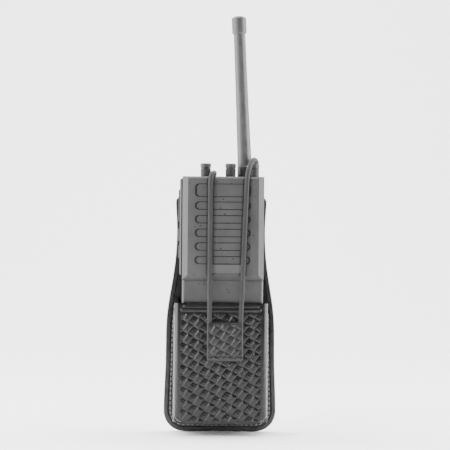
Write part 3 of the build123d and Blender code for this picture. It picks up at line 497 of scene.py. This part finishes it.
def rounded_grid(half_a, half_b, corner, count_a, count_b):
    """A grid of points that fills a rounded rectangle.

    Each point's level comes with it: 0 in the middle, 1 on the border.
    """
    s, t = np.meshgrid(np.linspace(-1, 1, count_a + 1), np.linspace(-1, 1, count_b + 1), indexing="ij")
    a = s * half_a
    b = t * half_b
    level = np.maximum(np.abs(s), np.abs(t))
    safe = np.maximum(level, 1e-9)
    edge_a = np.abs(a) / safe
    edge_b = np.abs(b) / safe
    at_corner = (edge_a > half_a - corner) & (edge_b > half_b - corner)
    centre = np.array([half_a - corner, half_b - corner])
    dot = edge_a * centre[0] + edge_b * centre[1]
    square = edge_a ** 2 + edge_b ** 2
    root = np.sqrt(np.maximum(dot ** 2 - square * (centre @ centre - corner ** 2), 0))
    reach = (dot + root) / np.maximum(square, 1e-12)
    scale = np.where(at_corner, np.minimum(reach, 1.0), 1.0)
    pull = 1 - (1 - scale) * level
    return a * pull, b * pull, level


def border_distance(a, b, half_a, half_b, corner):
    """How far inside a rounded rectangle a point lies."""
    qa = np.abs(a) - (half_a - corner)
    qb = np.abs(b) - (half_b - corner)
    outside = np.hypot(np.maximum(qa, 0), np.maximum(qb, 0))
    return corner - outside - np.minimum(np.maximum(qa, qb), 0)


def leather_slab(name, place, half_a, half_b, corner, relief, step, body, finish_name="leather"):
    """A closed leather slab with a rounded outline and a relief on its outer face.

    place turns (along, thickness, up) into the frame. relief(a, b, inside) is the thickness of the
    slab, where a grows to the right as one looks at the slab, b grows upwards and inside is the
    distance to its border.
    """
    count_a = round(2 * half_a / step)
    count_b = round(2 * half_b / step)
    a, b, _ = rounded_grid(half_a, half_b, corner, count_a, count_b)
    height = relief(-a, b, border_distance(a, b, half_a, half_b, corner))
    index = np.arange(a.size).reshape(a.shape)
    quads = np.stack([index[:-1, :-1], index[1:, :-1], index[1:, 1:], index[:-1, 1:]], axis=-1).reshape(-1, 4)
    ring = [*index[:, 0], *index[-1, 1:], *index[-2::-1, -1], *index[0, -2:0:-1]]
    flat = [(a.flat[k], 0.0, b.flat[k]) for k in ring]
    start = a.size
    count = len(ring)
    faces = [tuple(q) for q in quads]
    faces += [(ring[k], start + k, start + (k + 1) % count, ring[(k + 1) % count]) for k in range(count)]
    faces.append(tuple(start + k for k in range(count)))
    rows = [*np.stack([a, height, b], axis=-1).reshape(-1, 3), *flat]
    points = [place @ Vector(row) for row in rows]
    piece = new_piece(name, points, faces, body, finish_name)
    fix_outside(piece)
    return piece


def fix_outside(piece):
    """Turns a piece's faces so that they all look outwards."""
    work = bmesh.new()
    work.from_mesh(piece.data)
    bmesh.ops.recalc_face_normals(work, faces=work.faces)
    work.to_mesh(piece.data)
    work.free()


def facing(centre, out, up=Vector((0, 0, 1))):
    """A matrix whose second axis looks along out and whose third axis looks along up."""
    along = out.cross(up)
    turn = Matrix((along, out, up)).transposed().to_4x4()
    return Matrix.Translation(centre) @ turn


def pocket_skins():
    """The stamped front and sides of the pocket, with the creased band at its mouth."""
    sizes = bpy.context.scene.belt_radio_holder
    low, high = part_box("pocket")
    mouth = sizes.mouth
    foot = low[2] + SKIN_FOOT
    half = (mouth - foot) / 2
    middle = (mouth + foot) / 2
    band = sizes.mouth_band

    def front(a, b, inside):
        z = b + middle
        stamp = basket_stamp(a, z, sizes.weave_pitch)
        below = smooth_step(0, 0.0011, mouth - band - z)
        edge = smooth_step(0.0002, 0.0022, inside)
        body = FRONT_SINK + sizes.weave_depth * stamp * below * smooth_step(0.0002, 0.0014, inside)
        crease = sum(CREASE_HEIGHT * np.exp(-((mouth - drop - z) / CREASE_WIDTH) ** 2)
                     for drop in CREASE_DROPS)
        return SLAB_EDGE + edge * (body + crease)

    place = facing(Vector((0, low[1] + FRONT_SINK, middle)), Vector((0, -1, 0)))
    leather_slab("pocket_front_skin", place, sizes.skin_half, half, sizes.skin_corner, front,
                 FRONT_STEP, "holder")

    depth_middle = (low[1] + high[1]) / 2 - 0.0005

    def side(a, b, inside):
        stamp = basket_stamp(a, b, sizes.weave_pitch)
        edge = smooth_step(0.0002, 0.0020, inside)
        return SLAB_EDGE + edge * (0.0002 + 0.8 * sizes.weave_depth * stamp)

    for name, way in (("pocket_left_skin", -1), ("pocket_right_skin", 1)):
        out = Vector((way, 0, 0))
        centre = Vector((way * (sizes.pocket_half - SIDE_SINK), depth_middle, middle - SIDE_DROP))
        leather_slab(name, facing(centre, out), sizes.side_half, half - SIDE_DROP, SIDE_CORNER, side,
                     SIDE_STEP, "holder")


def woven_tab():
    """The woven pull tab at the foot of the cords, with a rolled border and a pressed hem."""
    sizes = bpy.context.scene.belt_radio_holder
    low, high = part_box("pull_tab")
    centre = [(low[k] + high[k]) / 2 for k in range(3)]
    half_a = (high[0] - low[0]) / 2
    half_b = (high[2] - low[2]) / 2
    thick = high[1] - low[1] - TAB_BACK

    def face(a, b, inside):
        stamp = basket_stamp(a, b, sizes.weave_pitch * 0.92)
        roll = np.sqrt(np.clip(1 - (1 - np.clip(inside / TAB_ROLL, 0, 1)) ** 2, 0, 1))
        within = smooth_step(0.0014, 0.0026, inside)
        hem = HEM_DEPTH * np.exp(-((b + half_b - HEM_RISE) / HEM_WIDTH) ** 2)
        return 0.0008 + (thick - 0.0012) * roll + 0.0011 * stamp * within - hem * within

    place = facing(Vector((centre[0], high[1] - TAB_BACK, centre[2])), Vector((0, -1, 0)))
    tab = leather_slab("woven_tab", place, half_a, half_b, TAB_CORNER, face, FRONT_STEP, "retainer", "tab")
    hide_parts("pull_tab")


def flange_stitches():
    """Stitches along the edge of the panel, beside and under the pocket."""
    sizes = bpy.context.scene.belt_radio_holder
    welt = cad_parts["edge_welt"]
    flat = [Vector((v.co.x, v.co.z)) for v in welt.data.vertices]
    outline = [flat[k] for k in convex_hull_2d(flat)]
    ring = np.array([(p.x, 0.0, p.y) for p in outline + outline[:1]])
    ring = resample(ring, LINE_STEP)[:-1]
    ahead = np.roll(ring, -1, axis=0) - np.roll(ring, 1, axis=0)
    ahead /= np.linalg.norm(ahead, axis=1)[:, None]
    inward = np.stack([-ahead[:, 2], ahead[:, 1], ahead[:, 0]], axis=1)
    centre = ring.mean(axis=0)
    if np.mean(np.sum(inward * (centre - ring), axis=1)) < 0:
        inward = -inward
    line = ring + inward * sizes.flange_drop
    keep = line[:, 2] < STITCH_TOP
    order = np.roll(np.arange(len(line)), -int(np.argmax(~keep)))
    path = np.array([line[k] for k in order if keep[k]])
    jump = np.argmax(np.linalg.norm(np.diff(path, axis=0), axis=1))
    if np.linalg.norm(path[jump + 1] - path[jump]) > 0.01:
        path = np.concatenate([path[jump + 1:], path[:jump + 1]])
    path[:, 1] = sizes.flange_face
    normals = np.tile([0.0, -1.0, 0.0], (len(path), 1))
    thread_stitches("flange_stitches", path, normals, "holder")


def loop_stitches():
    """Stitches along both sides of the belt loop."""
    low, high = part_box("belt_loop")
    rows = []
    for side in (low[0] + LOOP_MARGIN, high[0] - LOOP_MARGIN):
        rows.append([(side, high[1], -LOOP_ROW), (side, high[1], LOOP_ROW)])
    for number, row in enumerate(rows):
        path = resample(np.array(row), LINE_STEP)
        normals = np.tile([0.0, 1.0, 0.0], (len(path), 1))
        thread_stitches(f"loop_stitches_{number + 1}", path, normals, "holder")


class BELTRADIO_OT_pocket(Operator):
    """Stamp the front and the sides of the pocket"""

    bl_idname = "beltradio.pocket"
    bl_label = "Stamp the pocket"

    def execute(self, context):
        pocket_skins()
        return {"FINISHED"}


class BELTRADIO_OT_tab(Operator):
    """Make the woven pull tab"""

    bl_idname = "beltradio.tab"
    bl_label = "Make the pull tab"

    def execute(self, context):
        woven_tab()
        return {"FINISHED"}


class BELTRADIO_OT_stitches(Operator):
    """Stitch the edge of the panel and the belt loop"""

    bl_idname = "beltradio.stitches"
    bl_label = "Stitch the leather"

    def execute(self, context):
        flange_stitches()
        loop_stitches()
        return {"FINISHED"}


# ---------------------------------------------------------------- the elastic cords
BRAID_STEP = 0.00045     # distance between two rings of points of a cord
CORD_SIDES = 28          # points in one ring

CORD_LINES = {
    "left": {
        "rear": [(-0.0064, -0.0065, 0.0480), (-0.0064, -0.0065, 0.0674), (-0.0060, -0.0200, 0.0655)],
        "front": [(-0.0060, -0.0200, 0.0655), (-0.0066, -0.0370, 0.0650), (-0.0094, -0.04885, 0.0650),
                  (-0.0096, -0.04885, 0.0543)],
        "leg": [(-0.0096, -0.04885, 0.0546), (-0.0096, -0.04885, 0.0000), (-0.0095, -0.04885, -0.0560)],
    },
    "right": {
        "rear": [(0.0292, -0.0065, 0.0480), (0.0292, -0.0065, 0.0660), (0.0288, -0.0225, 0.0764)],
        "front": [(0.0288, -0.0225, 0.0764), (0.0244, -0.0366, 0.0770), (0.0199, -0.04845, 0.0655),
                  (0.0197, -0.04885, 0.0543)],
        "leg": [(0.0197, -0.04885, 0.0546), (0.0177, -0.04885, 0.0000), (0.0157, -0.04885, -0.0560)],
    },
}


def nurbs_line(points):
    """Points along the smooth NURBS line that has the given control points."""
    curve = bpy.data.curves.new("cord_line", "CURVE")
    curve.dimensions = "3D"
    spline = curve.splines.new("NURBS")
    spline.points.add(len(points) - 1)
    for control, place in zip(spline.points, points):
        control.co = (*place, 1)
    spline.order_u = 3
    spline.use_endpoint_u = True
    spline.resolution_u = 32
    holder = bpy.data.objects.new("cord_line", curve)
    mesh = bpy.data.meshes.new_from_object(holder)
    line = np.array([tuple(v.co) for v in mesh.vertices])
    bpy.data.objects.remove(holder)
    bpy.data.curves.remove(curve)
    bpy.data.meshes.remove(mesh)
    return line


def braided_cord(name, points, started=0.0):
    """A braided cord along a line of points, and its length, with the strands in relief.

    started is the length of cord before this piece, so that the braid runs on from it.
    """
    sizes = bpy.context.scene.belt_radio_cord
    path = resample(points, BRAID_STEP)
    far = arc_length(path)
    sides = CORD_SIDES
    tangent = np.gradient(path, axis=0)
    tangent /= np.linalg.norm(tangent, axis=1)[:, None]
    first = np.cross(tangent, np.array([1.0, 0.02, 0.0]))
    first /= np.linalg.norm(first, axis=1)[:, None]
    second = np.cross(tangent, first)
    angle = np.linspace(0, 2 * math.pi, sides, endpoint=False)
    along = (far[:, None] + started) / sizes.braid_pitch * 2 * math.pi
    n = sizes.strands
    one = np.cos((angle[None, :] * n + along * n) / 2) ** 2
    two = np.cos((angle[None, :] * n - along * n) / 2) ** 2
    relief = np.maximum(one, two) ** 0.8
    radius = sizes.radius + sizes.braid_depth * (relief - 0.7)
    rings = (path[:, None, :] + radius[..., None] * (np.cos(angle)[None, :, None] * first[:, None, :]
                                                    + np.sin(angle)[None, :, None] * second[:, None, :]))
    rows = len(path)
    points_out = rings.reshape(-1, 3)
    faces = []
    for r in range(rows - 1):
        for s in range(sides):
            a = r * sides + s
            b = r * sides + (s + 1) % sides
            faces.append((a, b, b + sides, a + sides))
    faces.append(tuple(reversed(range(sides))))
    faces.append(tuple((rows - 1) * sides + s for s in range(sides)))
    piece = new_piece(name, points_out, faces, None, "cord")
    return piece, far[-1]


class BELTRADIO_OT_cords(Operator):
    """Braid the two elastic cords that hold the radio in"""

    bl_idname = "beltradio.cords"
    bl_label = "Braid the cords"

    def execute(self, context):
        for side, lines in CORD_LINES.items():
            whole = nurbs_line(lines["rear"] + lines["front"][1:])
            cut = int(np.argmin(np.linalg.norm(whole - np.array(lines["front"][0]), axis=1)))
            rear, length = braided_cord(f"{side}_cord_rear", whole[:cut + 1])
            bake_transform(rear)
            front, more = braided_cord(f"{side}_cord_front", whole[cut:], length)
            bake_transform(front)
            leg, _ = braided_cord(f"{side}_cord_hanging", nurbs_line(lines["leg"]), length + more)
            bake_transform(leg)
            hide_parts(f"{side}_cord_over")
            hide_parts(f"{side}_cord_leg")
        return {"FINISHED"}


# ---------------------------------------------------------------- finishes of the CAD parts
ROLLED_EDGES = (("edge_welt", 0.0019), ("belt_loop", 0.0008), ("back_panel", 0.0004))
WELD_DISTANCE = 0.00001
REMADE = {"pull_tab", "left_cord_over", "right_cord_over", "left_cord_leg", "right_cord_leg"}


class BELTRADIO_OT_finishes(Operator):
    """Give every part of the CAD model its finish, and soften the edges of the leather"""

    bl_idname = "beltradio.finishes"
    bl_label = "Finish the parts"

    def execute(self, context):
        for name, nodes in CARRIED_OVER.items():
            for node in nodes:
                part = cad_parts[node]
                part.data.materials.clear()
                part.data.materials.append(finish(name))
        missing = set(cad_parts) - {n for nodes in CARRIED_OVER.values() for n in nodes}
        missing -= REMADE
        if missing:
            raise RuntimeError(f"parts without a finish: {sorted(missing)}")
        for node, width in ROLLED_EDGES:
            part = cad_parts[node]
            weld = part.modifiers.new("weld", "WELD")
            weld.merge_threshold = WELD_DISTANCE
            bevel = part.modifiers.new("rolled_edge", "BEVEL")
            bevel.width = width
            bevel.segments = 4
            bevel.limit_method = "ANGLE"
            bevel.angle_limit = math.radians(40)
            bevel.use_clamp_overlap = True
        return {"FINISHED"}


# ---------------------------------------------------------------- the stage
FLOOR_GAP = 0.0005       # the floor lies this much under the lowest point
FLOOR_NEAR = -1.2        # the floor's near edge
FLOOR_HALF = 4.0         # half of the floor's width
CURVE_START = 0.9        # where the floor starts to turn up
CURVE_RADIUS = 0.8
CURVE_STEPS = 16
WALL_HEIGHT = 4.0
LIGHT_AIM = (0.0, -0.02, 0.0)
BACKDROP_AIM = (0.0, 1.7, 0.25)
SENSOR = 36              # width of the camera's sensor, in millimetres
FACE_POINT = (0.0024, -0.0465, 0.0233)         # the point that the camera looks at


def soft_light(name, where, aim, size, power):
    """A large soft light that looks at a point."""
    lamp = bpy.data.lights.new(name, "AREA")
    lamp.shape = "RECTANGLE"
    lamp.size, lamp.size_y = size
    lamp.energy = power
    holder = bpy.data.objects.new(name, lamp)
    bpy.context.collection.objects.link(holder)
    holder.location = where
    holder.rotation_euler = (Vector(aim) - Vector(where)).to_track_quat("-Z", "Y").to_euler()


def curved_backdrop():
    """A floor that turns up into a wall behind the radio, in one curve."""
    floor_z = cad_box[0][2] - FLOOR_GAP
    pale, _, _, shader = shader_tree("pale_floor", (0.93, 0.93, 0.93), 0.9)
    shader.inputs["Specular IOR Level"].default_value = 0.1
    rows = [(FLOOR_NEAR, floor_z)]
    for k in range(CURVE_STEPS + 1):
        a = math.pi / 2 * k / CURVE_STEPS
        rows.append((CURVE_START + CURVE_RADIUS * math.sin(a), floor_z + CURVE_RADIUS * (1 - math.cos(a))))
    rows.append((CURVE_START + CURVE_RADIUS, floor_z + WALL_HEIGHT))
    points = [(x, y, z) for y, z in rows for x in (-FLOOR_HALF, FLOOR_HALF)]
    faces = [(2 * k, 2 * k + 1, 2 * k + 3, 2 * k + 2) for k in range(len(rows) - 1)]
    mesh = bpy.data.meshes.new("floor")
    mesh.from_pydata(points, [], faces)
    mesh.polygons.foreach_set("use_smooth", [True] * len(mesh.polygons))
    mesh.materials.append(pale)
    floor = bpy.data.objects.new("floor", mesh)
    bpy.context.collection.objects.link(floor)


def eased(nodes, links, source, start, end, low, high):
    """Maps a value that runs from start to end onto low to high, with an easy curve between."""
    node = nodes.new("ShaderNodeMapRange")
    node.interpolation_type = "SMOOTHSTEP"
    for socket, value in (("From Min", start), ("From Max", end), ("To Min", low), ("To Max", high)):
        node.inputs[socket].default_value = value
    links.new(source, node.inputs["Value"])
    return node.outputs["Result"]


def surroundings(stage):
    """White surroundings: dim in front, brighter at the sides, and a bright band behind at eye height."""
    world = bpy.data.worlds.new("studio")
    bpy.context.scene.world = world
    world.use_nodes = True
    nodes = world.node_tree.nodes
    links = world.node_tree.links
    sky = nodes["Background"]
    sky.inputs["Color"].default_value = (1, 1, 1, 1)
    place = nodes.new("ShaderNodeTexCoord")
    parts = nodes.new("ShaderNodeSeparateXYZ")
    links.new(place.outputs["Generated"], parts.inputs["Vector"])
    around = eased(nodes, links, parts.outputs["Y"], -0.75, 0.1, stage.front_sky, stage.side_sky)
    behind = eased(nodes, links, parts.outputs["Y"], 0.1, 0.7, 0.0, stage.back_sky)
    height = nodes.new("ShaderNodeMath")
    height.operation = "ABSOLUTE"
    links.new(parts.outputs["Z"], height.inputs[0])
    band = eased(nodes, links, height.outputs["Value"], 0.2, 0.5, 1.0, 0.1)
    glow = nodes.new("ShaderNodeMath")
    glow.operation = "MULTIPLY_ADD"
    for socket, value in zip(glow.inputs, (behind, band, around)):
        links.new(value, socket)
    links.new(glow.outputs["Value"], sky.inputs["Strength"])


def straight_camera(stage):
    """The camera in front of the radio's face."""
    lens = bpy.data.cameras.new("camera")
    lens.sensor_width = SENSOR
    lens.lens = SENSOR * stage.distance / stage.view_width
    camera = bpy.data.objects.new("camera", lens)
    bpy.context.collection.objects.link(camera)
    turn = math.radians(stage.azimuth)
    out = Vector((math.sin(turn), -math.cos(turn), 0))
    look = (-out).to_track_quat("-Z", "Y").to_matrix().to_4x4()
    roll = Matrix.Rotation(math.radians(stage.roll), 4, "Z")
    camera.matrix_world = Matrix.Translation(Vector(FACE_POINT) + out * stage.distance) @ look @ roll
    bpy.context.scene.camera = camera


class BELTRADIO_OT_stage(Operator):
    """Set up the floor, the lights and the camera"""

    bl_idname = "beltradio.stage"
    bl_label = "Set the stage"

    def execute(self, context):
        stage = context.scene.belt_radio_stage
        curved_backdrop()
        surroundings(stage)
        side = stage.side_power
        soft_light("left_light", (-0.75, -0.80, 0.60), LIGHT_AIM, (0.20, 0.35), side * 1.3)
        soft_light("right_edge_light", (0.85, -0.10, 0.15), LIGHT_AIM, (0.8, 1.2), side * 3.0)
        soft_light("left_edge_light", (-0.85, -0.10, 0.15), LIGHT_AIM, (0.8, 1.2), side * 3.0)
        soft_light("front_light", (0.15, -1.2, 1.1), LIGHT_AIM, (0.6, 0.4), stage.key_power)
        soft_light("backdrop_light", (0.0, 0.55, 2.0), BACKDROP_AIM, (3.0, 0.6), stage.backdrop_power)
        straight_camera(stage)
        return {"FINISHED"}


class BELTRADIO_PT_panel(Panel):
    """Sizes, colours and lights of the belt radio"""

    bl_idname = "BELTRADIO_PT_panel"
    bl_label = "Belt Radio"
    bl_space_type = "VIEW_3D"
    bl_region_type = "UI"
    bl_category = "Belt Radio"

    def draw(self, context):
        layout = self.layout
        for title, group in (("Holder", "belt_radio_holder"), ("Cords", "belt_radio_cord"),
                             ("Colours", "belt_radio_colours"), ("Stage", "belt_radio_stage")):
            box = layout.box()
            box.label(text=title)
            settings = getattr(context.scene, group)
            for name in settings.bl_rna.properties.keys():
                if name not in {"rna_type", "name"}:
                    box.prop(settings, name)
        for step in STEPS:
            layout.operator(step.bl_idname)


GROUPS = {"belt_radio_holder": HolderSizes, "belt_radio_cord": CordSizes,
          "belt_radio_colours": FinishColours, "belt_radio_stage": StageLights}
STEPS = (BELTRADIO_OT_finishes, BELTRADIO_OT_pocket, BELTRADIO_OT_tab, BELTRADIO_OT_stitches,
         BELTRADIO_OT_cords, BELTRADIO_OT_stage)


def register():
    for group in GROUPS.values():
        bpy.utils.register_class(group)
    for name, group in GROUPS.items():
        setattr(bpy.types.Scene, name, PointerProperty(type=group))
    for step in (*STEPS, BELTRADIO_PT_panel):
        bpy.utils.register_class(step)


def unregister():
    for step in reversed((*STEPS, BELTRADIO_PT_panel)):
        bpy.utils.unregister_class(step)
    for name in GROUPS:
        delattr(bpy.types.Scene, name)
    for group in reversed(GROUPS.values()):
        bpy.utils.unregister_class(group)


def main():
    register()
    bpy.ops.beltradio.finishes()
    bpy.ops.beltradio.pocket()
    bpy.ops.beltradio.tab()
    bpy.ops.beltradio.stitches()
    bpy.ops.beltradio.cords()
    bpy.ops.beltradio.stage()


if __name__ == "__main__":
    main()
